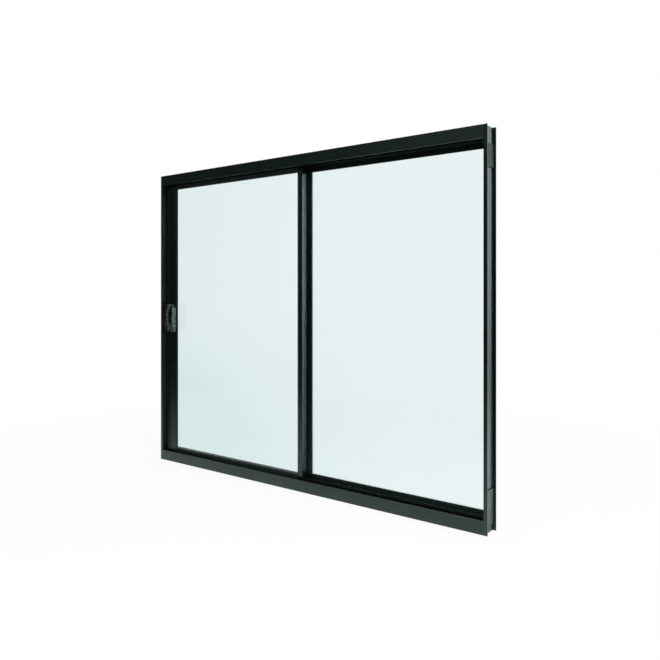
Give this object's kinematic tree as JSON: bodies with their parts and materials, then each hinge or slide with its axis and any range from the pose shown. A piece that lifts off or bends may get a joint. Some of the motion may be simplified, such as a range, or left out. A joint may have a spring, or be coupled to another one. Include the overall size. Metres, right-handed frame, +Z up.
{
  "type": "horizontal sliding window",
  "caption": "Black aluminium sliding window: a latched sash on rollers slides along a deep frame in front of a fixed lite.",
  "frame": {"origin": "middle of the sill's flat underside, halfway along the width and the depth of the frame", "axes": "+X along the window to the right as seen from the room, +Y from the room to the outside, +Z up"},
  "size_m": [1.81, 0.109, 1.46],
  "materials": {
    "black_powder_coat": "satin black powder coat on extruded aluminium",
    "latch_black": "semi-gloss black paint",
    "clear_glass": "clear float glass with a pale green tint",
    "black_rubber": "matt",
    "black_nylon": "moulded, matt",
    "white_nylon": "moulded, smooth",
    "grey_pile": "brushed pile",
    "zinc_steel": "zinc plated"
  },
  "bodies": {
    "frame": {"fixed_bottom_bead": "black_powder_coat", "fixed_front_gasket": "black_rubber", "fixed_glass": "clear_glass", "fixed_jamb_bead": "black_powder_coat", "fixed_mullion": "black_powder_coat", "fixed_rear_tape": "black_rubber", "fixed_top_bead": "black_powder_coat", "frame_head": "black_powder_coat", "frame_sill": "black_powder_coat", "head_guide_rail": "black_nylon", "head_pile": "grey_pile", "jamb_keeper": "zinc_steel", "left_jamb": "black_powder_coat", "left_lower_fixing_pad": "black_nylon", "left_setting_block": "black_nylon", "left_upper_fixing_pad": "black_nylon", "lower_jamb_seal": "black_rubber", "right_jamb": "black_powder_coat", "right_lower_fixing_pad": "black_nylon", "right_setting_block": "black_nylon", "right_upper_fixing_pad": "black_nylon", "sash_buffer": "black_rubber", "sill_pile": "grey_pile", "upper_jamb_seal": "black_rubber"},
    "sash": {"latch_housing": "latch_black", "latch_lever": "latch_black", "left_roller": "white_nylon", "left_roller_bracket": "zinc_steel", "left_top_guide": "black_nylon", "right_roller": "white_nylon", "right_roller_bracket": "zinc_steel", "right_top_guide": "black_nylon", "sash_bottom_rail": "black_powder_coat", "sash_front_gasket": "black_rubber", "sash_glass": "clear_glass", "sash_left_setting_block": "black_nylon", "sash_lock_stile": "black_powder_coat", "sash_meeting_stile": "black_powder_coat", "sash_rear_gasket": "black_rubber", "sash_right_setting_block": "black_nylon", "sash_top_rail": "black_powder_coat"}
  },
  "joints": [
    {"name": "sash_slide", "type": "slide", "parent": "frame", "child": "sash", "axis": [1, 0, 0], "range_m": [0, 0.845]}
  ]
}
